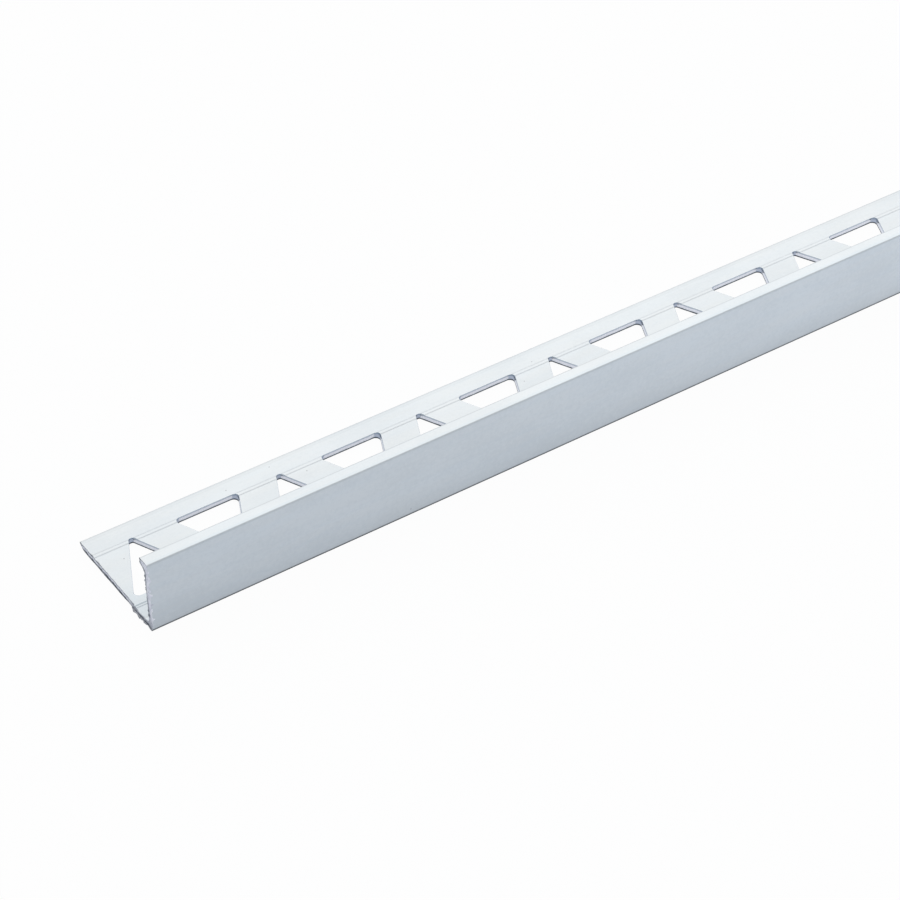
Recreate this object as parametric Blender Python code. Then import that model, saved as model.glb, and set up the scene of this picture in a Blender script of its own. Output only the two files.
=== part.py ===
# Straight tile edge trim, one length of extruded and punched aluminium stock.
# The strip runs along X, its visible face looks along -Y and the anchoring leg points to +Y.
# Metres, +Z up, origin at the middle of the strip on the plane that the anchoring leg rests on.

import math

import bmesh
import bpy
from mathutils import Vector

# Driving dimensions of the section

LENGTH = 1.0            # sold length of the strip
HEIGHT = 0.0125         # nominal tile thickness, from the bed to the top of the lip
LEG_WIDTH = 0.0217      # anchoring leg, from the visible face to its back edge
LEG_WALL = 0.001        # thickness of the anchoring leg
FACE_WALL = 0.001       # thickness of the visible upright
LIP_OVERHANG = 0.00115  # how far the top lip reaches inwards past the upright
LIP_DEPTH = 0.0008      # height of the lip's inner side
LIP_SLOPE = 0.0010      # height of the slope below the lip's inner side
EDGE_EASE = 0.00015     # small flat that breaks each outer corner of the face
INNER_EASE = 0.0004     # fillet between the leg and the upright
BACK_BEVEL_RUN = 0.0010     # bevel under the back edge, along Y
BACK_BEVEL_RISE = 0.0007    # bevel under the back edge, along Z

# Driving dimensions of the two fine ribs that key the mortar

BACK_RIB_WIDTH = 0.0008     # foot of the back rib
FRONT_RIB_WIDTH = 0.0005    # foot of the front rib
RIB_FLANK = 0.00015         # run of a rib's sloping sides, along Y
RIB_HEIGHT = 0.0001         # height of a rib above the leg
BACK_RIB_INSET = 0.0005     # middle of the back rib, in front of the holes' back ends
FRONT_RIB_INSET = 0.0019    # middle of the front rib, in front of the holes' front ends

# Driving dimensions of the punched holes

HOLE_PITCH = 0.0255         # from one hole to the next of the same kind
HOLE_GAP = 0.00125          # between the wide ends of two neighbouring holes, along X
FRONT_BAND = 0.00655        # unpunched band from the visible face to the holes
BACK_BAND = 0.0037          # unpunched band from the holes to the back edge
HOLE_TIP = 0.0008           # width of a hole's narrow end, before its corners are rounded
WIDE_RADIUS = 0.0008        # corner radius at the wide end
TIP_RADIUS = 0.0005         # corner radius at the narrow end
END_MARGIN = 0.00122        # least material between a hole and the end of the strip
CUT_CLEARANCE = 0.0005      # how far a punch reaches past both faces of the leg
HOLES_PER_BAY = 4           # holes between two cross lines of the mesh
WIDE_STEPS = 3              # facets in a rounded wide corner
TIP_STEPS = 2               # facets in a rounded narrow corner

# Values that follow from those above

LEFT_END = -LENGTH / 2
FACE_Y = -LEG_WIDTH / 2
BACK_Y = FACE_Y + LEG_WIDTH
LIP_WIDTH = FACE_WALL + LIP_OVERHANG
HALF_PITCH = HOLE_PITCH / 2
HOLE_WIDE = HALF_PITCH - HOLE_GAP
HOLE_FRONT_Y = FACE_Y + FRONT_BAND
HOLE_BACK_Y = BACK_Y - BACK_BAND
FIRST_HOLE_X = LEFT_END + END_MARGIN + HOLE_WIDE / 2


def clear_scene():
    """Remove every object that the file starts with."""
    for item in list(bpy.data.objects):
        bpy.data.objects.remove(item, do_unlink=True)


def new_collection(name):
    """Make a collection in the scene."""
    collection = bpy.data.collections.new(name)
    bpy.context.scene.collection.children.link(collection)
    return collection


def anodised_material():
    """Satin silver anodised aluminium."""
    material = bpy.data.materials.new("silver_anodised")
    material.use_nodes = True
    shader = material.node_tree.nodes["Principled BSDF"]
    shader.inputs["Base Color"].default_value = (0.80, 0.82, 0.85, 1.0)
    shader.inputs["Metallic"].default_value = 1.0
    shader.inputs["Roughness"].default_value = 0.38
    return material


def rib_points(middle_y, width):
    """Points of a low rib on top of the leg, met while walking towards the face."""
    crest_z = LEG_WALL + RIB_HEIGHT
    return [
        (middle_y + width / 2, LEG_WALL),
        (middle_y + width / 2 - RIB_FLANK, crest_z),
        (middle_y - width / 2 + RIB_FLANK, crest_z),
        (middle_y - width / 2, LEG_WALL),
    ]


def section_points():
    """Outline of the section in Y and Z, from the bottom of the face round to it again."""
    upright_y = FACE_Y + FACE_WALL
    lip_y = FACE_Y + LIP_WIDTH
    slope_top = HEIGHT - LIP_DEPTH
    points = [
        (FACE_Y + EDGE_EASE, 0.0),
        (BACK_Y - BACK_BEVEL_RUN, 0.0),
        (BACK_Y, BACK_BEVEL_RISE),
        (BACK_Y, LEG_WALL),
    ]
    points += rib_points(HOLE_BACK_Y - BACK_RIB_INSET, BACK_RIB_WIDTH)
    points += rib_points(HOLE_FRONT_Y - FRONT_RIB_INSET, FRONT_RIB_WIDTH)
    points += [
        (upright_y + INNER_EASE, LEG_WALL),
        (upright_y, LEG_WALL + INNER_EASE),
        (upright_y, slope_top - LIP_SLOPE),
        (lip_y, slope_top),
        (lip_y, HEIGHT - EDGE_EASE),
        (lip_y - EDGE_EASE, HEIGHT),
        (FACE_Y + EDGE_EASE, HEIGHT),
        (FACE_Y, HEIGHT - EDGE_EASE),
        (FACE_Y, EDGE_EASE),
    ]
    return points


def add_outline(curve, points):
    """Add a closed outline of straight runs to a flat curve."""
    spline = curve.splines.new("POLY")
    spline.points.add(len(points) - 1)
    for point, place in zip(spline.points, points):
        point.co = (place[0], place[1], 0.0, 1.0)
    spline.use_cyclic_u = True


def flat_curve(name, thickness):
    """A filled flat curve that is extruded to the given thickness."""
    curve = bpy.data.curves.new(name, "CURVE")
    curve.dimensions = "2D"
    curve.fill_mode = "BOTH"
    curve.extrude = thickness / 2
    return curve


def curve_to_mesh(curve_object, collection):
    """Turn an extruded curve into a closed mesh object of the same name."""
    bpy.context.view_layer.update()
    graph = bpy.context.evaluated_depsgraph_get()
    mesh = bpy.data.meshes.new_from_object(curve_object.evaluated_get(graph))
    edit = bmesh.new()
    edit.from_mesh(mesh)
    bmesh.ops.remove_doubles(edit, verts=edit.verts, dist=0.000001)
    bmesh.ops.recalc_face_normals(edit, faces=edit.faces)
    edit.to_mesh(mesh)
    edit.free()
    name = curve_object.name
    place = curve_object.matrix_world.copy()
    bpy.data.objects.remove(curve_object, do_unlink=True)
    mesh_object = bpy.data.objects.new(name, mesh)
    mesh_object.matrix_world = place
    collection.objects.link(mesh_object)
    return mesh_object


def extruded_strip(collection):
    """The section pulled along X, before it is punched."""
    curve = flat_curve("edge_trim", LENGTH)
    add_outline(curve, section_points())
    strip = bpy.data.objects.new("edge_trim", curve)
    # The curve's own X and Y become the strip's Y and Z.
    strip.rotation_euler = (math.pi / 2, 0.0, math.pi / 2)
    collection.objects.link(strip)
    return curve_to_mesh(strip, collection)


def divide_into_bays(strip):
    """Cross lines between the holes, which keep the strip's faces short."""
    edit = bmesh.new()
    edit.from_mesh(strip.data)
    to_strip = strip.matrix_world.inverted()
    along = (to_strip.to_3x3() @ Vector((1.0, 0.0, 0.0))).normalized()
    centres = hole_centres()
    for centre_x, _ in centres[HOLES_PER_BAY - 1:-1:HOLES_PER_BAY]:
        place = to_strip @ Vector((centre_x + HALF_PITCH / 2, 0.0, 0.0))
        everything = edit.verts[:] + edit.edges[:] + edit.faces[:]
        bmesh.ops.bisect_plane(edit, geom=everything, plane_co=place, plane_no=along)
    edit.to_mesh(strip.data)
    edit.free()


def rounded_corner(before, corner, after, radius, steps):
    """Points of an arc that rounds one corner of an outline."""
    to_before = (before - corner).normalized()
    to_after = (after - corner).normalized()
    half_angle = to_before.angle(to_after) / 2
    middle = corner + (to_before + to_after).normalized() * radius / math.sin(half_angle)
    tangent = radius / math.tan(half_angle)
    start = corner + to_before * tangent - middle
    turn = start.angle_signed(corner + to_after * tangent - middle)
    points = []
    for step in range(steps + 1):
        angle = -turn * step / steps
        cosine = math.cos(angle)
        sine = math.sin(angle)
        points.append((
            middle.x + start.x * cosine - start.y * sine,
            middle.y + start.x * sine + start.y * cosine,
        ))
    return points


def hole_outline(centre_x, wide_at_back):
    """Rounded wedge of one punched hole, wide at the back of the leg or at its front."""
    wide_y = HOLE_BACK_Y if wide_at_back else HOLE_FRONT_Y
    tip_y = HOLE_FRONT_Y if wide_at_back else HOLE_BACK_Y
    corners = [
        (Vector((centre_x - HOLE_WIDE / 2, wide_y)), WIDE_RADIUS, WIDE_STEPS),
        (Vector((centre_x + HOLE_WIDE / 2, wide_y)), WIDE_RADIUS, WIDE_STEPS),
        (Vector((centre_x + HOLE_TIP / 2, tip_y)), TIP_RADIUS, TIP_STEPS),
        (Vector((centre_x - HOLE_TIP / 2, tip_y)), TIP_RADIUS, TIP_STEPS),
    ]
    points = []
    for index, (corner, radius, steps) in enumerate(corners):
        before = corners[index - 1][0]
        after = corners[(index + 1) % len(corners)][0]
        points += rounded_corner(before, corner, after, radius, steps)
    return points


def hole_centres():
    """Centre of each hole along X, with the way that it faces."""
    last_x = LENGTH / 2 - END_MARGIN - HOLE_WIDE / 2
    count = int((last_x - FIRST_HOLE_X) / HALF_PITCH + 0.000001) + 1
    return [(FIRST_HOLE_X + HALF_PITCH * index, index % 2 == 1) for index in range(count)]


def punches(collection):
    """All the punched holes as one cutter."""
    thickness = LEG_WALL + RIB_HEIGHT + 2 * CUT_CLEARANCE
    curve = flat_curve("hole_punches", thickness)
    for centre_x, wide_at_back in hole_centres():
        add_outline(curve, hole_outline(centre_x, wide_at_back))
    cutter = bpy.data.objects.new("hole_punches", curve)
    cutter.location = (0.0, 0.0, (LEG_WALL + RIB_HEIGHT) / 2)
    collection.objects.link(cutter)
    cutter = curve_to_mesh(cutter, collection)
    cutter.hide_render = True
    cutter.display_type = "WIRE"
    return cutter


def punch_strip(strip, cutter):
    """Cut the holes out of the anchoring leg."""
    cut = strip.modifiers.new("punched_holes", "BOOLEAN")
    cut.operation = "DIFFERENCE"
    cut.solver = "EXACT"
    cut.object = cutter
    facets = strip.modifiers.new("even_facets", "TRIANGULATE")
    facets.ngon_method = "BEAUTY"
    facets.quad_method = "BEAUTY"


def build():
    clear_scene()
    parts = new_collection("tile_edge_trim")
    cutters = new_collection("cutters")
    strip = extruded_strip(parts)
    divide_into_bays(strip)
    strip.data.materials.append(anodised_material())
    punch_strip(strip, punches(cutters))


build()
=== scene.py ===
import math

import bmesh
import bpy
import numpy as np
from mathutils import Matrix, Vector
from mathutils.geometry import delaunay_2d_cdt
from mathutils.kdtree import KDTree


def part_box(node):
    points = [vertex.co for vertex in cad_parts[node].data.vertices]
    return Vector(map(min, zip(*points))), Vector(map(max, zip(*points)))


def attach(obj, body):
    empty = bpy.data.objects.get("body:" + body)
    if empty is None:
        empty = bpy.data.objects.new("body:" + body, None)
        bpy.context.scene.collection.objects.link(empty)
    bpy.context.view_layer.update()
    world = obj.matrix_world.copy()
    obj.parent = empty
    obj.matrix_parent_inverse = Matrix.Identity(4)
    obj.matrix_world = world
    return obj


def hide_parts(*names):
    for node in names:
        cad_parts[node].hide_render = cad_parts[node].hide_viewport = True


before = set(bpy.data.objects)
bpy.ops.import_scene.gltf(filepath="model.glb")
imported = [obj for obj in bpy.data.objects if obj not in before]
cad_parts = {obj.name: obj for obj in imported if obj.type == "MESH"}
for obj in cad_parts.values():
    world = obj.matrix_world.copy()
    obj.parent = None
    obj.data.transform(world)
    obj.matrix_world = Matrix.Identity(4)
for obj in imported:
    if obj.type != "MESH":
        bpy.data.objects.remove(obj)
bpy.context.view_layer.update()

# The strip's box, from the frame

NODE = "edge_trim"
LOW, HIGH = (Vector(corner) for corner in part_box(NODE))
FACE_Y = LOW.y
BACK_Y = HIGH.y
HEIGHT = HIGH.z

# The section, in metres

MM = 0.001                  # one millimetre
LEG_WALL = 0.001            # thickness of the anchoring leg
FACE_WALL = 0.001           # thickness of the visible upright
LIP_WIDTH = 0.00215         # the lip along the upright's top, from the visible face
LIP_DEPTH = 0.0008          # height of the lip's inner side
LIP_SLOPE = 0.0010          # height of the slope below it
INNER_FILLET = 0.0004       # radius between the leg and the upright
OUTER_ROUND = 0.00018       # radius of the visible top edge
SOFT_ROUND = 0.00012        # radius of the other edges
BACK_BEVEL_RUN = 0.0010     # bevel under the back edge, along Y
BACK_BEVEL_RISE = 0.0007    # bevel under the back edge, along Z
BACK_RIB_WIDTH = 0.0008     # foot of the back rib
FRONT_RIB_WIDTH = 0.0005    # foot of the front rib
BACK_RIB_INSET = 0.0005     # middle of the back rib, in front of the holes' back ends
FRONT_RIB_INSET = 0.0019    # middle of the front rib, in front of the holes' front ends
RIB_FLANK = 0.00015         # run of a rib's sloping sides
RIB_HEIGHT = 0.00007        # height of a rib above the leg
BACK_DIE_LINE = 0.00004     # width of the fine groove behind the back rib
FRONT_DIE_LINE = 0.00019    # width of the one behind the front rib
CORNER_STEPS = 5            # pieces in each rounded corner
FLAT_FACE_WEIGHT = 100      # how much large faces count in the smooth shading
SHARP_ANGLE = math.radians(20)              # an edge with a larger angle stays sharp
LEG_TOP = 1.5 * LEG_WALL    # what lies lower than this belongs to the leg
SKIN_MATERIAL = 0           # place of the strip's finish among its materials
BARE_MATERIAL = 1           # and of the bare sawn metal

# The punched holes, in metres

HOLE_PITCH = 0.0255         # from one hole to the next of the same kind
HOLE_GAP = 0.00125          # between the wide ends of two neighbouring holes, along X
FRONT_BAND = 0.00655        # unpunched band from the visible face to the holes
BACK_BAND = 0.00362         # unpunched band from the holes to the back edge
HOLE_TIP = 0.0008           # width of a hole's narrow end, before its corners are rounded
WIDE_RADIUS = 0.0008        # corner radius at the wide end
TIP_RADIUS = 0.00036        # corner radius at the narrow end
END_MARGIN = 0.00122        # least material between a hole and the end of the strip
ROLLOVER = 0.00007          # radius of the rolled upper edge
BREAK_HEIGHT = 0.00024      # height of the broken band at the foot of a hole's wall
BREAK_RUN = 0.00002         # how far that band widens downwards
PUNCH_REACH = 0.0005        # how far a punch reaches past both faces of the leg
PUNCH_SHIFT = -0.00007      # shift along X of the holes that are narrow at the back
SIDE_LEAN = 0.00009         # extra lean of those holes' side that faces +X, at both of its ends
SIDE_TAPER = 0.00012        # how far the other holes' side that faces -X comes in at its foot
COUNT_ROUNDING = 0.000001   # keeps a hole that just fits
ON_ARC = 0.00001            # a point this near to a hole's rounded corner lies on it
ROLLOVER_STEPS = 5          # pieces in the rolled edge
HOLE_STEPS = 6              # pieces in each of a hole's rounded corners
HALF_PITCH = HOLE_PITCH / 2
HOLE_WIDE = HALF_PITCH - HOLE_GAP
HOLE_FRONT_Y = FACE_Y + FRONT_BAND
HOLE_BACK_Y = BACK_Y - BACK_BAND

# The sawn ends, in metres. The cut lies inside the CAD end, which the longest burrs reach.

CUT_INSET = 0.0005          # from the CAD end to the cut
CUT_STEP = 0.00014          # between neighbouring points of the cut
CUT_STATIONS = (0.0, 0.00008, 0.0002, 0.0004, 0.0006)   # rings behind the cut
LEFT_SEED = 7               # of the random draws for the end that the camera sees
RIGHT_SEED = 11             # and for the far end
TOOTH_HEIGHT = 0.000018     # of the saw's tooth marks
GRAIN_HEIGHT = 0.000014     # of the grain between them
WAVE_HEIGHT = 0.00002       # of the slow waves under both
TOOTH_RATES = (3.1, 7.3)    # radians in a millimetre, and so are the next two
GRAIN_RATES = (17, 19)
WAVE_RATES = (0.5, 0.9)
SECOND_TOOTH = 0.7          # strength of the finer tooth marks
TOOTH_LEAN = 0.35           # largest lean of the tooth marks, in radians
INNER_RELIEF = 1.6          # how much rougher the cut is away from its rim
POINT_RELIEF = 0.000012     # spread of its height from point to point
POINT_JITTER = 0.3          # how far a point leaves its place in the grid, as a share of a step
SAME_PLACE = 0.0000001      # points closer than this are one

# The rim of the cut, in metres

RIM_WIDTH = 0.00005         # from the outline to the first points inside it
RIM_SINK = 0.00002          # how far those points lie behind the cut
TUCK_SHARE = 0.2            # of a burr's reach, by which it moves them inwards
TUCK_LIMIT = 0.0003         # longest reach that counts in that
SWELL_SHARE = 0.5           # how much of a burr's lift the ring below it takes
SKIN_FROM = 0.00009         # a burr that stands out of the cut further than this
SKIN_LIFT = 0.00003         # and is lifted less than this keeps the strip's finish outside
CHIP_SEED = 5
CHIP_DEPTH = 0.0003         # how far the finish can be chipped off along the visible face
CHIP_LENGTHS = (0.0009, 0.0015, 0.0026)     # waves that the chips follow up the face
CHIP_SHARE = 0.15           # raises the waves, so that more of the edge is chipped

# The raggedness of the rim, in millimetres

RAGGED_REPEATS = (23, 41, 67, 109, 151)     # waves around the rim
RAGGED_CREST = 3            # height of the summed waves that counts as full
RAGGED_LEAST = 0.015        # how far the rim stands out of the cut everywhere
RAGGED_OUT = 0.05           # how much further at a full wave
RAGGED_SPREAD = 0.015       # random spread of that
RAGGED_LIFT = 0.02          # how far a full wave stands out of the section
BURR_POWER = 0.6            # roundness of a burr along the rim
BURR_SPREAD = 0.25          # random loss of a burr's size
BURR_REACH_UP = (0.5, 0.9)  # heights over which a burr fades upwards and downwards
BURR_LIMIT = 0.495          # no burr stands out of the cut further than this

# Burrs on the sawn end that the camera sees: place from the face and the floor, half length,
# how far each stands out of the cut and how far out of the section, in millimetres

BURRS = (
    (2.15, 11.45, 0.50, 0.10, 0.06),
    (2.15, 12.4, 0.28, 0.06, 0.05),
    (1.0, 9.85, 0.28, 0.10, 0.16),
    (1.0, 9.00, 0.25, 0.12, 0.20),
    (1.0, 8.15, 0.20, 0.06, 0.10),
    (1.0, 7.60, 0.22, 0.08, 0.16),
    (1.0, 7.25, 0.22, 0.10, 0.14),
    (1.0, 5.60, 0.30, 0.05, 0.06),
    (1.0, 3.15, 0.25, 0.08, 0.16),
    (1.0, 2.30, 0.42, 0.10, 0.10),
    (0.0, 5.26, 0.25, 0.10, 0.00),
    (0.0, 4.00, 0.22, 0.12, 0.00),
    (18.0, 1.0, 0.40, 0.12, 0.30),
    (16.0, 1.0, 0.55, 0.16, 0.42),
    (5.1, 0.0, 1.10, 0.49, 0.00),
    (3.6, 0.0, 1.50, 0.47, 0.00),
    (2.2, 0.0, 1.00, 0.36, 0.00),
    (0.3, 0.0, 1.40, 0.30, 0.00),
    (9.8, 0.0, 3.00, 0.10, 0.00),
    (14.0, 0.0, 3.60, 0.12, 0.00),
    (18.4, 0.0, 3.20, 0.11, 0.00),
    (1.9, 1.0, 0.90, 0.20, 0.00),
    (3.2, 1.0, 1.50, 0.27, 0.00),
    (4.7, 1.0, 1.10, 0.20, 0.00),
)

# The dark rim of the cut, in metres: painted shade along the cut's outline, a painted contact
# shadow along its foot, and painted shade on the burrs, the flap's crease and the leg beside the
# upright. Pairs of tuples are places and the values there.

RIM_SAMPLE = 0.00005        # between the outline's points that nearness is measured from
RIM_REACH = 0.00034         # how far the darkness reaches into the cut
END_DEPTH = 0.0002          # points up to this far behind the cut belong to the sawn end
UPRIGHT_RIM = 0.75          # darkness of the rim on the upright
INNER_CORNER_RIM = 0.3      # darkness of the rim at the inner corner
INNER_CORNER_ACROSS = 1.6 * FACE_WALL               # the corner's reach from the visible face
INNER_CORNER_UP = (LEG_WALL / 2, 1.9 * LEG_WALL)    # and its lowest and highest place
OUTER_FOOT = 0.0002         # above this height the rim along the visible face isn't dark
FOOT_LINE = (               # top of the painted contact shadow at the cut's foot, across the section
    (0.0009, 0.0014, 0.0046, 0.0054, 0.0065, 0.0080),
    (0.0, 0.00022, 0.00022, 0.00008, 0.00008, 0.00036),
)
FOOT_FADE = 0.0001          # how softly that line ends
BURR_SHADE_POWER = 0.5      # how full the darkness of a burr is
LEG_SHADE = 0.45            # darkness of the painted shade on the leg's cut next to the upright
LEG_SHADE_ACROSS = ((0.0, 0.0009, 0.0065, 0.0085), (0.65, 1.0, 1.0, 0.0))
LEG_SHADE_UP = ((0.0012, 0.0025), (1.0, 0.0))
FLAP_FROM = 0.00008         # the flap is what stands out of the cut's foot further than this
FLAP_SHADE = ((0.00008, 0.00014, 0.00026, 0.0004), (1.0, 0.45, 0.45, 0.8))
FLAP_END = ((0.0060, 0.0070), (0.0, 1.0))   # the flap is dark again beyond this, across

# The camera, solved from the photograph's long edges, cut end and holes

CAMERA_FROM_CUT = Vector((-0.1163, -0.2427, 0.2559))
CAMERA_PITCH = math.radians(39.92)
CAMERA_HEADING = math.radians(55.40)
FOCAL_PIXELS = 2592.9
IMAGE_PIXELS = 900
SENSOR_MM = 36.0
CLIP_RANGE = (0.01, 50.0)

# The finishes, with the painted shade, highlights and reflections in them. A pair in a table is a
# value or a place in millimetres, and the tone there.

WHITE = (1.0, 1.0, 1.0, 1.0)
ANODISED_TONES = (
    (0.525, (0.787, 0.824, 0.846, 1.0)),
    (0.735, (0.847, 0.880, 0.898, 1.0)),
)
TINTS = (
    (0.36, (1.0, 0.9965, 0.989, 1.0)),
    (0.64, (0.989, 0.9965, 1.0, 1.0)),
)
SPECK_COLOUR = (0.42, 0.43, 0.45, 1.0)
SPECK_STRENGTH = 0.7
SPECK_CORE = 0.6            # share of a speck's radius that is fully dark
LINES_SHARE = 0.25          # of the extrusion lines in the fine tone
GRAIN_SHARE = 0.75          # of the grain in it
FINE_SHARE = 0.85           # of the fine tone in the whole
CLOUD_SHARE = 0.45          # of the large soft patches in it
METAL = 0.8
SAWN_METAL = 0.7
ANODISED_ROUGHNESS = (0.35, 0.44)
PUNCHED_ROUGHNESS = (0.55, 0.22)            # of the broken band, and of the bright one above it
SAWN_ROUGHNESS = (0.35, 0.60)
FINE_BUMP = 0.000006        # depth in metres, and so is the next
SAWN_BUMP = 0.00002
BAND_WANDER = 0.00022       # how far the bands' borders wander on a hole's wall, in metres
# Painted shade in the corner between the leg and the upright
INNER_CORNER = (0.84, 0.86, 0.89, 1.0)
CORNER_ACROSS = (0.0013, 0.0021)            # where that colour fades, from the visible face
CORNER_UP = (0.0014, 0.0022)                # and from the floor
CORNER_BEHIND = 0.95 * FACE_WALL            # it starts here, so the visible face keeps its own
# Painted shade across the section: a darker visible face, a dark line at the lip's inner edge,
# shade on the leg next to the upright that fades towards the back, and darker lines along the back
# edge
ACROSS_TONES = (
    (0.0, 0.885), (0.12, 0.885), (0.2, 1.0), (1.88, 1.0), (1.98, 0.82), (2.15, 0.80),
    (2.3, 0.88), (6.0, 0.95), (9.0, 0.975), (15.5, 0.98), (17.2, 1.0), (20.8, 1.0),
    (20.95, 0.965), (21.1, 0.965), (21.22, 1.0), (21.4, 0.91), (21.7, 0.84),
)
# Painted cool highlight along the lip's front edge, and painted cool shade on the leg next to the
# upright
ACROSS_TINTS = (
    (0.14, WHITE),
    (0.2, (0.95, 0.98, 1.0, 1.0)),
    (0.55, (0.97, 0.99, 1.0, 1.0)),
    (0.75, WHITE),
    (2.2, WHITE),
    (2.3, (0.955, 0.98, 1.0, 1.0)),
    (7.0, (0.965, 0.985, 1.0, 1.0)),
    (10.0, WHITE),
)
# Painted shade by height: a painted contact shadow at the foot, darker towards the floor, a painted
# highlight just under the top edge, and painted shade on the rounded top edge and the lip
UP_TONES = (
    (0.0, 0.06), (0.22, 0.15), (0.38, 0.855), (0.9, 0.915), (3.0, 0.968), (5.0, 1.0),
    (12.1, 1.03), (12.22, 0.93), (12.36, 0.93), (12.46, 0.935), (12.5, 0.935),
)
# Hole walls by height: the dark foot is the broken band darkened by painted contact shadow, the
# pale band is the sheared band, and the darker top is a painted dark reflection under and on the
# rolled edge
PUNCHED_TONES = (
    (0.0, (0.07, 0.08, 0.09, 1.0)),
    (0.18, (0.12, 0.135, 0.155, 1.0)),
    (0.32, (0.90, 0.90, 0.93, 1.0)),
    (0.68, (0.99, 0.96, 0.98, 1.0)),
    (0.82, (0.57, 0.61, 0.67, 1.0)),
    (0.98, (0.66, 0.71, 0.76, 1.0)),
)
STREAK_TONES = ((0.3, (0.90, 0.90, 0.91, 1.0)), (0.55, WHITE))
# Painted shade on the holes' walls in their rounded corners and narrow ends
CORNER_SHADE = (0.58, 0.63, 0.70, 1.0)
SAWN_TONES = (
    (0.34, (0.62, 0.63, 0.68, 1.0)),
    (0.48, (0.88, 0.87, 0.925, 1.0)),
    (0.62, (1.0, 0.985, 1.0, 1.0)),
)
# Colour of the painted shade along the rim of the cut
RIM_COLOUR = (0.10, 0.115, 0.135, 1.0)

# The floor and the light

FLOOR_SIZE = 12.0
FLOOR_PIECES = 8            # squares along each side
FLOOR_ROUGHNESS = 0.9
FLOOR_SHINE = 0.1
FLOOR_AROUND = (0.50, 0.545, 0.60, 1.0)
GLOW_AROUND = (0.885, 0.93, 1.0, 1.0)
GLOW_RUN = (LOW.x - 0.02, LOW.x + 0.20)     # along the strip, where the glow grows
GLOW_LEVELS = (0.81, 1.0)
SEEN_SHARE = 0.955          # of the glow where the floor is seen; its shadow is in the rest
GLOSS_SHARE = 0.91          # of the glow where the strip mirrors the floor
SKY = (
    (0.17, (0.55, 0.59, 0.64, 1.0)),
    (0.50, (0.56, 0.60, 0.645, 1.0)),
    (0.72, (0.68, 0.70, 0.725, 1.0)),
    (0.875, (0.88, 0.885, 0.89, 1.0)),
    (1.0, WHITE),
)
BRIGHT_WAY = Vector((0.72, 0.52, 0.54)).normalized()
LAMP_PLACE = Vector((0.3, 0.95, 1.05))
LAMP_TARGET = Vector((LOW.x + 0.08, 0.0, 0.0))
LAMP_SIZE = (1.6, 1.2)
LAMP_WATTS = 2.0


def add_node(tree, kind, **values):
    """Add a shader node and set its plain properties."""
    node = tree.nodes.new(kind)
    for name, value in values.items():
        setattr(node, name, value)
    return node


def set_input(tree, socket, value):
    """Give an input a plain value or another node's output."""
    if isinstance(value, bpy.types.NodeSocket):
        tree.links.new(value, socket)
    else:
        socket.default_value = value


def math_node(tree, operation, first, second):
    """A Math node; each input is a number or another node's output."""
    node = add_node(tree, "ShaderNodeMath", operation=operation)
    set_input(tree, node.inputs[0], first)
    set_input(tree, node.inputs[1], second)
    return node.outputs[0]


def remap(tree, value, source, target):
    """Smoothly map one range of a value to another; a range is a low and a high value."""
    node = add_node(tree, "ShaderNodeMapRange", interpolation_type="SMOOTHSTEP")
    tree.links.new(value, node.inputs["Value"])
    node.inputs["From Min"].default_value = source[0]
    node.inputs["From Max"].default_value = source[1]
    node.inputs["To Min"].default_value = target[0]
    node.inputs["To Max"].default_value = target[1]
    return node.outputs["Result"]


def ramp(tree, value, stops):
    """Colour by value; each stop is a place and a colour."""
    node = add_node(tree, "ShaderNodeValToRGB")
    elements = node.color_ramp.elements
    while len(elements) < len(stops):
        elements.new(0.5)
    for element, (place, colour) in zip(elements, stops):
        element.position = place
        element.color = colour
    tree.links.new(value, node.inputs["Fac"])
    return node.outputs["Color"]


def mix_colours(tree, share, first, second, kind="MIX"):
    """Mix two colours; each input is a plain value or another node's output."""
    node = add_node(tree, "ShaderNodeMixRGB", blend_type=kind)
    set_input(tree, node.inputs["Fac"], share)
    set_input(tree, node.inputs["Color1"], first)
    set_input(tree, node.inputs["Color2"], second)
    return node.outputs["Color"]


def times(tree, first, second):
    """The product of two colours."""
    return mix_colours(tree, 1.0, first, second, kind="MULTIPLY")


def object_axes(tree):
    """X, Y and Z of a place on the strip."""
    coordinates = add_node(tree, "ShaderNodeTexCoord")
    split = add_node(tree, "ShaderNodeSeparateXYZ")
    tree.links.new(coordinates.outputs["Object"], split.inputs["Vector"])
    return split.outputs["X"], split.outputs["Y"], split.outputs["Z"]


def stored(tree, name):
    """A value that is stored on the mesh's points."""
    return add_node(tree, "ShaderNodeAttribute", attribute_name=name).outputs["Fac"]


def noise(tree, stretch, detail, roughness):
    """Noise with so many features in a metre along X, Y and Z."""
    coordinates = add_node(tree, "ShaderNodeTexCoord")
    mapping = add_node(tree, "ShaderNodeMapping")
    mapping.inputs["Scale"].default_value = stretch
    texture = add_node(tree, "ShaderNodeTexNoise")
    texture.inputs["Scale"].default_value = 1.0
    texture.inputs["Detail"].default_value = detail
    texture.inputs["Roughness"].default_value = roughness
    tree.links.new(coordinates.outputs["Object"], mapping.inputs["Vector"])
    tree.links.new(mapping.outputs["Vector"], texture.inputs["Vector"])
    return texture.outputs["Fac"]


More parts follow.
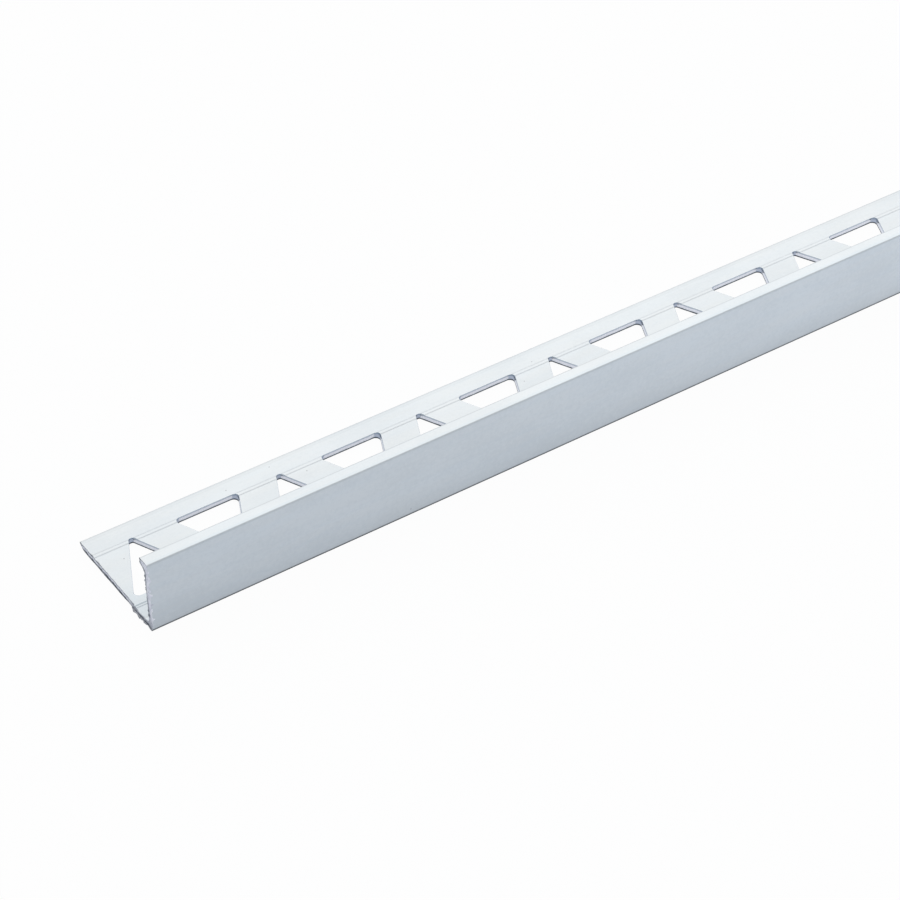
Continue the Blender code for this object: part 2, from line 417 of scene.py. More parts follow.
def specks(tree, per_metre, radius, share):
    """Small round specks on the leg: 1 in a speck, else 0. Share is how many cells have one."""
    x, y, z = object_axes(tree)
    flat = add_node(tree, "ShaderNodeCombineXYZ")
    tree.links.new(x, flat.inputs["X"])
    tree.links.new(math_node(tree, "ADD", y, z), flat.inputs["Y"])
    cells = add_node(tree, "ShaderNodeTexVoronoi", voronoi_dimensions="2D")
    cells.inputs["Scale"].default_value = per_metre
    tree.links.new(flat.outputs["Vector"], cells.inputs["Vector"])
    chance = add_node(tree, "ShaderNodeSeparateColor")
    tree.links.new(cells.outputs["Color"], chance.inputs["Color"])
    edge = radius * per_metre
    near = remap(tree, cells.outputs["Distance"], (edge * SPECK_CORE, edge), (1.0, 0.0))
    kept = math_node(tree, "LESS_THAN", chance.outputs["Red"], share)
    on_leg = math_node(tree, "LESS_THAN", z, LEG_TOP)
    return math_node(tree, "MULTIPLY", math_node(tree, "MULTIPLY", near, kept), on_leg)


def bump(tree, height, depth):
    """Bump of a given depth in metres."""
    node = add_node(tree, "ShaderNodeBump")
    node.inputs["Strength"].default_value = 1.0
    node.inputs["Distance"].default_value = depth
    tree.links.new(height, node.inputs["Height"])
    return node.outputs["Normal"]


def new_material(name):
    """A material with its node tree and its surface shader."""
    material = bpy.data.materials.new(name)
    material.use_nodes = True
    tree = material.node_tree
    return material, tree, tree.nodes["Principled BSDF"]


def rounded(points, radii, steps):
    """Round each corner of a closed outline by its own radius."""
    result = []
    count = len(points)
    for index, corner in enumerate(points):
        radius = radii[index]
        if radius <= 0:
            result.append(corner)
            continue
        before = (points[index - 1] - corner).normalized()
        after = (points[(index + 1) % count] - corner).normalized()
        half_angle = before.angle(after) / 2
        centre = corner + (before + after).normalized() * radius / math.sin(half_angle)
        start = corner + before * radius / math.tan(half_angle) - centre
        end = corner + after * radius / math.tan(half_angle) - centre
        turn = -start.angle_signed(end)
        for step in range(steps + 1):
            angle = turn * step / steps
            cosine = math.cos(angle)
            sine = math.sin(angle)
            offset = Vector((
                start.x * cosine - start.y * sine,
                start.x * sine + start.y * cosine,
            ))
            result.append(centre + offset)
    return result


def rib_corners(middle_y, width, die_line):
    """Corners of a low rib on the leg, towards the face, with the fine groove behind it."""
    crest = LEG_WALL + RIB_HEIGHT
    far = middle_y + width / 2
    near = middle_y - width / 2
    groove_y = far + die_line / 3
    groove_z = LEG_WALL - die_line / 2
    return [
        (far + die_line, LEG_WALL, 0.0),
        (groove_y, groove_z, 0.0),
        (far, LEG_WALL, 0.0),
        (far - RIB_FLANK, crest, 0.0),
        (near + RIB_FLANK, crest, 0.0),
        (near, LEG_WALL, 0.0),
    ]


def section_outline():
    """Rounded outline of the strip's section in Y and Z."""
    upright_y = FACE_Y + FACE_WALL
    lip_y = FACE_Y + LIP_WIDTH
    slope_top = HEIGHT - LIP_DEPTH
    corners = [
        (FACE_Y, 0.0, SOFT_ROUND),
        (BACK_Y - BACK_BEVEL_RUN, 0.0, SOFT_ROUND),
        (BACK_Y, BACK_BEVEL_RISE, SOFT_ROUND / 2),
        (BACK_Y, LEG_WALL, SOFT_ROUND),
    ]
    corners += rib_corners(HOLE_BACK_Y - BACK_RIB_INSET, BACK_RIB_WIDTH, BACK_DIE_LINE)
    corners += rib_corners(HOLE_FRONT_Y - FRONT_RIB_INSET, FRONT_RIB_WIDTH, FRONT_DIE_LINE)
    corners += [
        (upright_y, LEG_WALL, INNER_FILLET),
        (upright_y, slope_top - LIP_SLOPE, INNER_FILLET),
        (lip_y, slope_top, SOFT_ROUND),
        (lip_y, HEIGHT, SOFT_ROUND),
        (FACE_Y, HEIGHT, OUTER_ROUND),
    ]
    places = [Vector((y, z)) for y, z, _ in corners]
    return rounded(places, [radius for _, _, radius in corners], CORNER_STEPS)


def split_runs(points, step):
    """Divide an outline's long runs, and say where the old points are."""
    result = []
    kept = []
    for index, start in enumerate(points):
        end = points[(index + 1) % len(points)]
        pieces = max(1, round((end - start).length / step))
        kept.append(len(result))
        for piece in range(pieces):
            result.append(start.lerp(end, piece / pieces))
    return result, kept


def outward_ways(points):
    """The outward direction at each point of an outline that runs round the solid."""
    ways = []
    for index in range(len(points)):
        along = points[(index + 1) % len(points)] - points[index - 1]
        ways.append(Vector((along.y, -along.x)).normalized())
    return ways


def hole_centres():
    """Centre of each hole along X, and whether its wide end is at the back."""
    first = LOW.x + END_MARGIN + HOLE_WIDE / 2
    last = HIGH.x - END_MARGIN - HOLE_WIDE / 2
    count = int((last - first) / HALF_PITCH + COUNT_ROUNDING) + 1
    centres = []
    for index in range(count):
        wide_at_back = index % 2 == 1
        shift = 0.0 if wide_at_back else PUNCH_SHIFT
        centres.append((first + HALF_PITCH * index + shift, wide_at_back))
    return centres


def hole_outline(centre_x, wide_at_back, grow, taper):
    """Rounded wedge of one punched hole, grown outwards, and tapered on the side facing -X."""
    side = Vector(((HOLE_WIDE - HOLE_TIP) / 2, HOLE_BACK_Y - HOLE_FRONT_Y))
    slant = side.length / side.y
    slope = side.x / side.y
    wide_y = HOLE_BACK_Y if wide_at_back else HOLE_FRONT_Y
    tip_y = HOLE_FRONT_Y if wide_at_back else HOLE_BACK_Y
    away = 1.0 if wide_at_back else -1.0
    wide = HOLE_WIDE / 2 + grow * (slant + slope)
    tip = HOLE_TIP / 2 + grow * (slant - slope)
    lean = 0.0 if wide_at_back else SIDE_LEAN
    narrowed = taper if wide_at_back else 0.0
    corners = [
        Vector((centre_x - wide - lean, wide_y + away * grow)),
        Vector((centre_x + wide - narrowed, wide_y + away * grow)),
        Vector((centre_x + tip - narrowed, tip_y - away * grow)),
        Vector((centre_x - tip + lean, tip_y - away * grow)),
    ]
    radii = [WIDE_RADIUS + grow, WIDE_RADIUS + grow, TIP_RADIUS + grow, TIP_RADIUS + grow]
    outline = rounded(corners, radii, HOLE_STEPS)
    if wide_at_back:
        outline.reverse()
    return outline


def bridge(edit, first, second):
    """Faces between two rings that have as many points."""
    faces = []
    for index in range(len(first)):
        following = (index + 1) % len(first)
        corners = (first[index], first[following], second[following], second[index])
        faces.append(edit.faces.new(corners))
    return faces


def finish_mesh(name, edit, materials):
    """Make an object from an edited mesh."""
    mesh = bpy.data.meshes.new(name)
    edit.to_mesh(mesh)
    edit.free()
    for material in materials:
        mesh.materials.append(material)
    piece = bpy.data.objects.new(name, mesh)
    bpy.context.scene.collection.objects.link(piece)
    return piece


def punch_rings():
    """Height, growth and taper of each ring of a punch, from below the leg to above it."""
    shear = -ROLLOVER / 2
    broken = shear + BREAK_RUN
    rings = [
        (-PUNCH_REACH, broken, SIDE_TAPER),
        (0.0, broken, SIDE_TAPER),
        (BREAK_HEIGHT, shear, SIDE_TAPER),
    ]
    for step in range(ROLLOVER_STEPS + 1):
        angle = math.pi / 2 * step / ROLLOVER_STEPS
        height = LEG_WALL - ROLLOVER * (1 - math.sin(angle))
        rings.append((height, shear + ROLLOVER * (1 - math.cos(angle)), 0.0))
    rings.append((LEG_WALL + PUNCH_REACH, shear + ROLLOVER, 0.0))
    return rings


def punches(material):
    """All the punches, each a loft that leaves a rolled upper edge and a broken lower one."""
    edit = bmesh.new()
    for centre_x, wide_at_back in hole_centres():
        loops = []
        for height, grow, taper in punch_rings():
            outline = hole_outline(centre_x, wide_at_back, grow, taper)
            loops.append([edit.verts.new((point.x, point.y, height)) for point in outline])
        edit.faces.new(loops[0])
        edit.faces.new(loops[-1])
        for lower, upper in zip(loops, loops[1:]):
            bridge(edit, lower, upper)
    bmesh.ops.recalc_face_normals(edit, faces=edit.faces)
    return finish_mesh("punches", edit, [material])


def cut_roughness(rng):
    """Height of a sawn face: tooth marks across it, grain between them and slow waves."""
    # Two of the eight phases go unused, and keep the later draws in their order
    phases = rng.uniform(0, 2 * math.pi, 8)
    lean = rng.uniform(-TOOTH_LEAN, TOOTH_LEAN)

    def height(y, z):
        across = (y - FACE_Y) / MM
        up = z / MM
        along = across * math.cos(lean) + up * math.sin(lean)
        coarse = math.sin(TOOTH_RATES[0] * along + phases[0])
        fine = math.sin(TOOTH_RATES[1] * along + phases[1])
        marks = coarse + SECOND_TOOTH * fine
        grain_across = math.sin(GRAIN_RATES[0] * across + phases[2])
        grain_up = math.sin(GRAIN_RATES[1] * up + phases[3])
        grain = grain_across * grain_up
        wave_across = math.sin(WAVE_RATES[0] * across + phases[4])
        wave_up = math.sin(WAVE_RATES[1] * up + phases[5])
        wave = wave_across + wave_up
        return TOOTH_HEIGHT * marks + GRAIN_HEIGHT * grain + WAVE_HEIGHT * wave

    return height


def burr_sizes(points, burrs, rng):
    """How far the rim of a sawn face stands out of the cut and out of the section, per point."""
    count = len(points)
    places = np.array([(point.x - FACE_Y, point.y) for point in points]) / MM
    steps = np.linalg.norm(np.roll(places, -1, axis=0) - places, axis=1)
    run = np.concatenate(([0.0], np.cumsum(steps)[:-1]))
    total = steps.sum()
    wave = np.zeros(count)
    for repeats in RAGGED_REPEATS:
        phase = rng.uniform(0, 2 * math.pi)
        wave += np.sin(2 * math.pi * repeats * run / total + phase)
    ragged = np.clip(wave / RAGGED_CREST, 0, 1) ** 2
    forward = RAGGED_LEAST + RAGGED_OUT * ragged + rng.uniform(0, RAGGED_SPREAD, count)
    lift = RAGGED_LIFT * ragged
    for across, up, reach, out_of_cut, out_of_section in burrs:
        distance = np.hypot(places[:, 0] - across, places[:, 1] - up)
        share = np.clip(1 - distance / reach, 0, 1) ** BURR_POWER
        share *= np.interp(np.abs(places[:, 1] - up), BURR_REACH_UP, (1.0, 0.0))
        share *= 1 - BURR_SPREAD * rng.uniform(0, 1, count)
        forward = np.maximum(forward, out_of_cut * share)
        lift = np.maximum(lift, out_of_section * share)
    return np.minimum(forward, BURR_LIMIT) * MM, lift * MM


def within_box(place):
    """A place in the section, kept within the strip's box."""
    return Vector((min(max(place.x, FACE_Y), BACK_Y), min(max(place.y, 0.0), HEIGHT)))


def chip_depths(points, rng):
    """How far from the cut the finish is chipped off along the visible face, per point."""
    across = np.array([point.x - FACE_Y for point in points])
    up = np.array([point.y for point in points])
    wave = np.zeros(len(points))
    for length in CHIP_LENGTHS:
        phase = rng.uniform(0, 2 * math.pi)
        wave += np.sin(2 * math.pi * up / length + phase)
    depth = CHIP_DEPTH * np.clip(wave / len(CHIP_LENGTHS) + CHIP_SHARE, 0, 1)
    on_face = (across < SOFT_ROUND) & (up > LEG_WALL) & (up < HEIGHT - LIP_DEPTH)
    return np.where(on_face, depth, 0.0)


def cut_end(edit, loop_points, side, burrs, rng):
    """Rough sawn face at one end, with its burrs; gives back the ring that the body starts from."""
    height = cut_roughness(rng)
    cut_x = LOW.x + CUT_INSET if side < 0 else HIGH.x - CUT_INSET
    ways = outward_ways(loop_points)
    forward, lift = burr_sizes(loop_points, burrs, rng)
    rings = []
    for number, distance in enumerate(CUT_STATIONS):
        fade = 1.0 - number / (len(CUT_STATIONS) - 1)
        ring = []
        for index, point in enumerate(loop_points):
            inwards = distance + height(point.x, point.y) * fade
            place = within_box(point + ways[index] * lift[index] * SWELL_SHARE * fade)
            ring.append(edit.verts.new((cut_x - side * inwards, place.x, place.y)))
        rings.append(ring)
    crest = []
    middle = []
    inner = []
    inner_places = []
    for index, point in enumerate(loop_points):
        tip = within_box(point + ways[index] * lift[index])
        crest.append(edit.verts.new((cut_x + side * forward[index], tip.x, tip.y)))
        tuck = TUCK_SHARE * min(forward[index], TUCK_LIMIT)
        place = point - ways[index] * (RIM_WIDTH + tuck)
        inner_places.append(place)
        inwards = RIM_SINK + height(place.x, place.y)
        inner.append(edit.verts.new((cut_x - side * inwards, place.x, place.y)))
        middle.append(edit.verts.new(crest[-1].co.lerp(inner[-1].co, 0.5)))
    skin = (forward > SKIN_FROM) & (lift < SKIN_LIFT)
    chips = chip_depths(loop_points, np.random.default_rng(CHIP_SEED))
    depths = CUT_STATIONS[::-1]
    rings.reverse()
    rings += [crest, middle, inner]
    for number, (first, second) in enumerate(zip(rings, rings[1:])):
        for index, face in enumerate(bridge(edit, first, second)):
            if number + 1 < len(depths):
                on_skin = depths[number + 1] >= chips[index]
            else:
                on_skin = second is crest and skin[index]
            face.material_index = SKIN_MATERIAL if on_skin else BARE_MATERIAL
    for face in fill_section(edit, inner_places, inner, cut_x, side, height, rng):
        face.material_index = BARE_MATERIAL
    return rings[0]


def inside(point, outline):
    """Whether a point lies inside a closed outline."""
    crossings = False
    before = outline[-1]
    for after in outline:
        if (after.y > point.y) != (before.y > point.y):
            share = (point.y - before.y) / (after.y - before.y)
            if point.x < before.x + share * (after.x - before.x):
                crossings = not crossings
        before = after
    return crossings


def scattered(number, rng):
    """A row's or a column's place on the sawn face, a little off its middle."""
    return (number + 0.5 + POINT_JITTER * rng.uniform(-1, 1)) * CUT_STEP


def fill_section(edit, loop_points, ring, cut_x, side, height, rng):
    """Triangles of a sawn face, with points inside it for its roughness."""
    points = [Vector(point) for point in loop_points]
    boundary = len(points)
    for row in range(int((BACK_Y - FACE_Y) / CUT_STEP)):
        for column in range(int(HEIGHT / CUT_STEP)):
            y = FACE_Y + scattered(row, rng)
            z = scattered(column, rng)
            place = Vector((y, z))
            in_leg = place.y < LEG_WALL + RIB_HEIGHT
            in_upright = place.x < FACE_Y + LIP_WIDTH
            if (in_leg or in_upright) and inside(place, loop_points):
                points.append(place)
    edges = [(index, (index + 1) % boundary) for index in range(boundary)]
    only_inside = 1
    filled = delaunay_2d_cdt(points, edges, [], only_inside, SAME_PLACE)
    places, _, faces, origins, _, _ = filled
    made = {}
    for index, place in enumerate(places):
        first = min(origins[index]) if origins[index] else boundary
        if first < boundary:
            made[index] = ring[first]
        else:
            inwards = INNER_RELIEF * height(place.x, place.y) + rng.normal(0, POINT_RELIEF)
            made[index] = edit.verts.new((cut_x - side * inwards, place.x, place.y))
    return [edit.faces.new([made[index] for index in face]) for face in faces]


def station_ring(edit, points, x):
    """One ring of the section's own points."""
    return [edit.verts.new((x, point.x, point.y)) for point in points]


def bridge_dense(edit, dense, kept, coarse):
    """Faces from a finely divided ring to a plain one."""
    count = len(kept)
    for index in range(count):
        start = kept[index]
        end = kept[(index + 1) % count]
        if end <= start:
            end += len(dense)
        run = [dense[step % len(dense)] for step in range(start, end + 1)]
        edit.faces.new(run + [coarse[(index + 1) % count], coarse[index]])


def strip_body(materials):
    """The strip before it is punched, with its sawn ends."""
    edit = bmesh.new()
    outline = section_outline()
    loop_points, kept = split_runs(outline, CUT_STEP)
    left = cut_end(edit, loop_points, -1, BURRS, np.random.default_rng(LEFT_SEED))
    right = cut_end(edit, loop_points, 1, (), np.random.default_rng(RIGHT_SEED))
    centres = [centre for centre, _ in hole_centres()]
    stations = [left_x + HALF_PITCH / 2 for left_x in centres[:-1]]
    rings = [station_ring(edit, outline, x) for x in stations]
    bridge_dense(edit, left, kept, rings[0])
    bridge_dense(edit, right, kept, rings[-1])
    for first, second in zip(rings, rings[1:]):
        bridge(edit, first, second)
    bmesh.ops.recalc_face_normals(edit, faces=edit.faces)
    return finish_mesh("trim_strip", edit, materials)


def tone_line(tree, value, low, high, stops):
    """Tone along one axis; each stop is a place in millimetres from low and a colour."""
    share = math_node(tree, "DIVIDE", math_node(tree, "SUBTRACT", value, low), high - low)
    size = (high - low) / MM
    return ramp(tree, share, [(place / size, tone) for place, tone in stops])


def grey(stops):
    """The same stops with grey tones as colours."""
    return [(place, (tone, tone, tone, 1.0)) for place, tone in stops]


def painted_inner_corner_shade(tree, y, z):
    """Painted shade: white, and darker and cooler in the corner between the leg and the upright."""
    fade_y = (FACE_Y + CORNER_ACROSS[0], FACE_Y + CORNER_ACROSS[1])
    beside = remap(tree, y, fade_y, (1.0, 0.0))
    behind = math_node(tree, "GREATER_THAN", y, FACE_Y + CORNER_BEHIND)
    low = remap(tree, z, CORNER_UP, (1.0, 0.0))
    in_corner = math_node(tree, "MULTIPLY", math_node(tree, "MULTIPLY", beside, behind), low)
    return ramp(tree, in_corner, [(0.0, WHITE), (1.0, INNER_CORNER)])


def painted_shade_by_section(tree):
    """Painted shade, painted highlights and painted cool tints along the strip, by the place in its
    section: darker, paler and cooler lines.
    """
    _, y, z = object_axes(tree)
    across = tone_line(tree, y, FACE_Y, BACK_Y, grey(ACROSS_TONES))
    tint = tone_line(tree, y, FACE_Y, BACK_Y, ACROSS_TINTS)
    up = tone_line(tree, z, 0.0, HEIGHT, grey(UP_TONES))
    return times(tree, times(tree, times(tree, across, tint), up), painted_inner_corner_shade(tree, y, z))


def weighted_sum(tree, first, first_share, second, second_share):
    """The sum of two values, each times its own share."""
    first_part = math_node(tree, "MULTIPLY", first, first_share)
    second_part = math_node(tree, "MULTIPLY", second, second_share)
    return math_node(tree, "ADD", first_part, second_part)


def anodised():
    """Matt silver anodised aluminium with fine extrusion lines, grain and a few specks, times the
    painted shade and highlights of its place in the section.
    """
    material, tree, shader = new_material("silver_anodised_with_painted_shade")
    lines = noise(tree, stretch=(9.0, 2800.0, 2800.0), detail=4.0, roughness=0.65)
    grain = noise(tree, stretch=(1500.0, 1500.0, 1500.0), detail=3.0, roughness=0.7)
    clouds = noise(tree, stretch=(70.0, 160.0, 160.0), detail=3.0, roughness=0.55)
    warmth = noise(tree, stretch=(60.0, 600.0, 600.0), detail=2.0, roughness=0.6)
    dust = specks(tree, per_metre=250.0, radius=0.00014, share=0.16)
    fine = weighted_sum(tree, lines, LINES_SHARE, grain, GRAIN_SHARE)
    tone = weighted_sum(tree, fine, FINE_SHARE, clouds, CLOUD_SHARE)
    colour = times(tree, ramp(tree, tone, ANODISED_TONES), ramp(tree, warmth, TINTS))
    dust_share = math_node(tree, "MULTIPLY", dust, SPECK_STRENGTH)
    dusty = mix_colours(tree, dust_share, colour, SPECK_COLOUR)
    # The painted shade and highlights by place in the section darken and lighten the finish
    tree.links.new(times(tree, dusty, painted_shade_by_section(tree)), shader.inputs["Base Color"])
    roughness = remap(tree, fine, source=(0.3, 0.7), target=ANODISED_ROUGHNESS)
    tree.links.new(roughness, shader.inputs["Roughness"])
    tree.links.new(bump(tree, fine, FINE_BUMP), shader.inputs["Normal"])
    shader.inputs["Metallic"].default_value = METAL
    return material


def punched_edge():
    """Sheared metal on the walls of the holes: bright band above, broken dark band below with
    painted contact shadow, a painted dark reflection at the rolled top and painted shade in the
    corners.
    """
    material, tree, shader = new_material("punched_edge_with_painted_shade")
    ragged = noise(tree, stretch=(900.0, 900.0, 200.0), detail=3.0, roughness=0.6)
    streaks = noise(tree, stretch=(4200.0, 4200.0, 260.0), detail=3.0, roughness=0.6)
    _, _, z = object_axes(tree)
    wander = math_node(tree, "MULTIPLY", math_node(tree, "SUBTRACT", ragged, 0.5), BAND_WANDER)
    level = math_node(tree, "DIVIDE", math_node(tree, "ADD", z, wander), LEG_WALL)
    zones = ramp(tree, level, PUNCHED_TONES)
    shade = ramp(tree, streaks, STREAK_TONES)
    # Painted shade in the holes' corners
    painted_hole_corner_shade = ramp(tree, stored(tree, "corner"), [(0.0, WHITE), (1.0, CORNER_SHADE)])
    wall_colour_and_painted_shade = times(tree, times(tree, zones, shade), painted_hole_corner_shade)
    tree.links.new(wall_colour_and_painted_shade, shader.inputs["Base Color"])
    roughness = remap(tree, level, source=(0.15, 0.35), target=PUNCHED_ROUGHNESS)
    tree.links.new(roughness, shader.inputs["Roughness"])
    tree.links.new(bump(tree, streaks, FINE_BUMP), shader.inputs["Normal"])
    shader.inputs["Metallic"].default_value = METAL
    return material


def sawn_end():
    """Rough bare metal on the sawn ends, darker along its rim with painted shade."""
    material, tree, shader = new_material("sawn_end_with_painted_shade")
    marks = noise(tree, stretch=(800.0, 3600.0, 1500.0), detail=3.0, roughness=0.6)
    blots = noise(tree, stretch=(900.0, 900.0, 900.0), detail=3.0, roughness=0.6)
    body = ramp(tree, marks, SAWN_TONES)
    uneven = remap(tree, blots, source=(0.3, 0.6), target=(0.7, 1.0))
    # The rim attribute holds painted shade
    rim_share = math_node(tree, "MULTIPLY", stored(tree, "rim"), uneven)
    colour = mix_colours(tree, rim_share, body, RIM_COLOUR)
    tree.links.new(colour, shader.inputs["Base Color"])
    roughness = remap(tree, blots, source=(0.3, 0.7), target=SAWN_ROUGHNESS)
    tree.links.new(roughness, shader.inputs["Roughness"])
    tree.links.new(bump(tree, marks, SAWN_BUMP), shader.inputs["Normal"])
    shader.inputs["Metallic"].default_value = SAWN_METAL
    return material


def rim_strength(across, up):
    """How dark the painted shade along the rim of a sawn face is at each place, from the face and
    the floor.
    """
    strength = np.ones(len(across))
    upright = (across < LIP_WIDTH) & (up > LEG_TOP)
    lip = up > HEIGHT - LIP_DEPTH
    strength[upright & ~lip] = UPRIGHT_RIM
    beside = across < INNER_CORNER_ACROSS
    corner = beside & (up > INNER_CORNER_UP[0]) & (up < INNER_CORNER_UP[1])
    strength[corner] = INNER_CORNER_RIM
    strength[(across < FACE_WALL / 2) & (up > OUTER_FOOT)] = 0.0
    return strength


def rim_nearness(places):
    """How near each place in a sawn face is to the section's outline: 1 on it, 0 far away."""
    outline, _ = split_runs(section_outline(), RIM_SAMPLE)
    edge = np.array([(point.x, point.y) for point in outline])
    gaps = np.linalg.norm(places[:, None, :] - edge[None, :, :], axis=2).min(axis=1)
    return np.clip(1 - gaps / RIM_REACH, 0, 1)


def burr_shade(across, up):
    """How dark the painted shade on the burrs that stand out of the section is at each place."""
    shade = np.zeros(len(across))
    for burr_across, burr_up, reach, _, out_of_section in BURRS:
        if out_of_section > 0:
            gap = np.hypot(across - burr_across * MM, up - burr_up * MM)
            share = np.clip(1 - gap / (reach * MM), 0, 1) ** BURR_SHADE_POWER
            shade = np.maximum(shade, share)
    return shade


def leg_shade(across, up):
    """How dark the painted shade on the cut of the leg is next to the upright."""
    shade = np.interp(across, *LEG_SHADE_ACROSS)
    shade *= LEG_SHADE * np.interp(up, *LEG_SHADE_UP)
    return shade


def mark_rims(mesh):
    """Store how dark the painted shade at each point of the sawn ends is, in the rim attribute."""
    places = np.empty(len(mesh.vertices) * 3)
    mesh.vertices.foreach_get("co", places)
    places = places.reshape(-1, 3)
    across = places[:, 1] - FACE_Y
    up = places[:, 2]
    ends = np.abs(places[:, 0]) > HIGH.x - CUT_INSET - END_DEPTH
    out_of_cut = np.abs(places[:, 0]) - (HIGH.x - CUT_INSET)
    nearness = np.zeros(len(places))
    nearness[ends] = rim_nearness(places[ends][:, 1:])
    # Painted shade along the cut's outline, a painted contact shadow along its foot, and painted
    # shade on the burrs and on the leg's cut beside the upright
    foot = np.interp(across, *FOOT_LINE)
    dark = nearness * rim_strength(across, up)
    dark = np.maximum(dark, ends * np.clip(1 - (up - foot) / FOOT_FADE, 0, 1))
    dark = np.maximum(dark, ends * burr_shade(across, up))
    dark = np.maximum(dark, ends * leg_shade(across, up))
    # Painted shade in the crease between the flap and the cut, and towards the flap's edge
    flap = (out_of_cut > FLAP_FROM) & (up < LEG_WALL / 2)
    past_flap = np.interp(across[flap], *FLAP_END)
    dark[flap] = np.maximum(past_flap, np.interp(out_of_cut[flap], *FLAP_SHADE))
    rim = mesh.attributes.new("rim", "FLOAT", "POINT")
    rim.data.foreach_set("value", dark)


def corner_points():
    """Points of the holes' walls within a rounded corner or at the narrow end."""
    result = []
    for centre_x, wide_at_back in hole_centres():
        narrow_pair = 0 if wide_at_back else 1
        for _, grow, taper in punch_rings():
            outline = hole_outline(centre_x, wide_at_back, grow, taper)
            for index, point in enumerate(outline):
                corner, step = divmod(index, HOLE_STEPS + 1)
                narrow_step = 0 if corner % 2 else HOLE_STEPS
                at_narrow_end = corner // 2 == narrow_pair and step == narrow_step
                if 0 < step < HOLE_STEPS or at_narrow_end:
                    result.append(point)
    return result


def mark_corners(mesh):
    """Store which points lie in the holes' corners, in the corner attribute, for the painted shade
    there.
    """
    points = corner_points()
    tree = KDTree(len(points))
    for index, point in enumerate(points):
        tree.insert((point.x, point.y, 0.0), index)
    tree.balance()
    values = []
    for vertex in mesh.vertices:
        _, _, gap = tree.find((vertex.co.x, vertex.co.y, 0.0))
        values.append(1.0 if gap < ON_ARC else 0.0)
    corner = mesh.attributes.new("corner", "FLOAT", "POINT")
    corner.data.foreach_set("value", values)


def make_trim():
    """The whole strip as one piece."""
    edge_material = punched_edge()
    # The materials' order is the one that SKIN_MATERIAL and BARE_MATERIAL give
    strip = strip_body([anodised(), sawn_end(), edge_material])
    cutter = punches(edge_material)
    cut = strip.modifiers.new("punched_holes", "BOOLEAN")
    cut.operation = "DIFFERENCE"
    cut.solver = "EXACT"
    cut.material_mode = "TRANSFER"
    cut.object = cutter
    graph = bpy.context.evaluated_depsgraph_get()
    mesh = bpy.data.meshes.new_from_object(strip.evaluated_get(graph))
    strip.modifiers.clear()
    strip.data = mesh
    bpy.data.objects.remove(cutter, do_unlink=True)
    mark_rims(mesh)
    mark_corners(mesh)
    mesh.shade_smooth()
    mesh.set_sharp_from_angle(angle=SHARP_ANGLE)
    normals = strip.modifiers.new("flat_faces_stay_flat", "WEIGHTED_NORMAL")
    normals.keep_sharp = True
    normals.weight = FLAT_FACE_WEIGHT
    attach(strip, "root")
    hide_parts(NODE)


def floor_glow(tree, seen):
    """The floor's glow, which grows along the strip except where the camera sees it."""
    geometry = add_node(tree, "ShaderNodeNewGeometry")
    split = add_node(tree, "ShaderNodeSeparateXYZ")
    tree.links.new(geometry.outputs["Position"], split.inputs["Vector"])
    level = remap(tree, split.outputs["X"], GLOW_RUN, GLOW_LEVELS)
    glow = add_node(tree, "ShaderNodeEmission")
    colour = mix_colours(tree, seen, GLOW_AROUND, WHITE)
    tree.links.new(colour, glow.inputs["Color"])
    tree.links.new(math_node(tree, "MAXIMUM", level, seen), glow.inputs["Strength"])
    return glow.outputs["Emission"]


def white_floor():
    """White surface that glows and keeps the strip's shadow."""
    material, tree, shader = new_material("white_floor")
    shader.inputs["Roughness"].default_value = FLOOR_ROUGHNESS
    shader.inputs["Specular IOR Level"].default_value = FLOOR_SHINE
    path = add_node(tree, "ShaderNodeLightPath")
    seen = path.outputs["Is Camera Ray"]
    colour = mix_colours(tree, seen, FLOOR_AROUND, WHITE)
    tree.links.new(colour, shader.inputs["Base Color"])
    direct = math_node(tree, "MAXIMUM", seen, path.outputs["Is Transmission Ray"])
    seen_glow = math_node(tree, "MULTIPLY", direct, SEEN_SHARE)
    mirrored_glow = math_node(tree, "MULTIPLY", path.outputs["Is Glossy Ray"], GLOSS_SHARE)
    mix = add_node(tree, "ShaderNodeMixShader")
    tree.links.new(math_node(tree, "MAXIMUM", seen_glow, mirrored_glow), mix.inputs["Fac"])
    tree.links.new(shader.outputs["BSDF"], mix.inputs[1])
    tree.links.new(floor_glow(tree, seen), mix.inputs[2])
    surface = tree.nodes["Material Output"].inputs["Surface"]
    tree.links.new(mix.outputs["Shader"], surface)
    return material


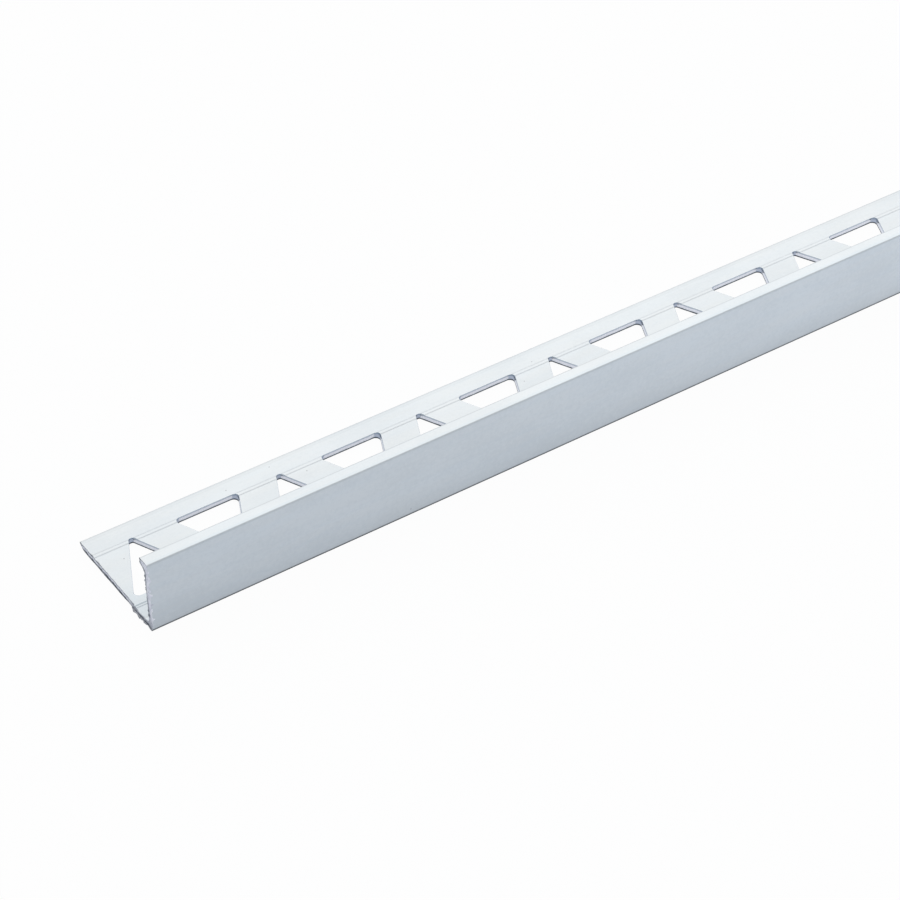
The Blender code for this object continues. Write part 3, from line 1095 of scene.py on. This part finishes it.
def make_floor():
    """White floor under the strip."""
    bpy.ops.mesh.primitive_grid_add(
        x_subdivisions=FLOOR_PIECES,
        y_subdivisions=FLOOR_PIECES,
        size=FLOOR_SIZE,
    )
    floor = bpy.context.object
    floor.name = "floor"
    floor.data.materials.append(white_floor())


def make_world():
    """Studio that is bright above and behind the strip, and dimmer and cooler in front of it."""
    world = bpy.data.worlds.new("studio")
    bpy.context.scene.world = world
    world.use_nodes = True
    tree = world.node_tree
    coordinates = add_node(tree, "ShaderNodeTexCoord")
    way = add_node(tree, "ShaderNodeVectorMath", operation="DOT_PRODUCT")
    way.inputs[1].default_value = BRIGHT_WAY
    tree.links.new(coordinates.outputs["Generated"], way.inputs[0])
    place = add_node(tree, "ShaderNodeMapRange")
    tree.links.new(way.outputs["Value"], place.inputs["Value"])
    place.inputs["From Min"].default_value = -1.0
    place.inputs["From Max"].default_value = 1.0
    background = tree.nodes["Background"]
    tree.links.new(ramp(tree, place.outputs["Result"], SKY), background.inputs["Color"])
    background.inputs["Strength"].default_value = 1.0


def make_light():
    """Large soft light above the strip."""
    light = bpy.data.lights.new("top", "AREA")
    light.shape = "RECTANGLE"
    light.size, light.size_y = LAMP_SIZE
    light.energy = LAMP_WATTS
    lamp = bpy.data.objects.new("top", light)
    lamp.location = LAMP_PLACE
    lamp.rotation_euler = (LAMP_TARGET - LAMP_PLACE).to_track_quat("-Z", "Y").to_euler()
    bpy.context.scene.collection.objects.link(lamp)


def make_camera():
    """Camera at the photograph's place, which is given from the corner of the cut end."""
    data = bpy.data.cameras.new("camera")
    data.sensor_width = SENSOR_MM
    data.lens = SENSOR_MM * FOCAL_PIXELS / IMAGE_PIXELS
    data.clip_start, data.clip_end = CLIP_RANGE
    camera = bpy.data.objects.new("camera", data)
    camera.location = Vector((LOW.x + CUT_INSET, FACE_Y, 0.0)) + CAMERA_FROM_CUT
    camera.rotation_euler = (
        math.pi / 2 - CAMERA_PITCH,
        0.0,
        CAMERA_HEADING - math.pi / 2,
    )
    bpy.context.scene.collection.objects.link(camera)
    bpy.context.scene.camera = camera


make_trim()
make_floor()
make_world()
make_light()
make_camera()
bpy.context.scene.view_settings.view_transform = "Standard"
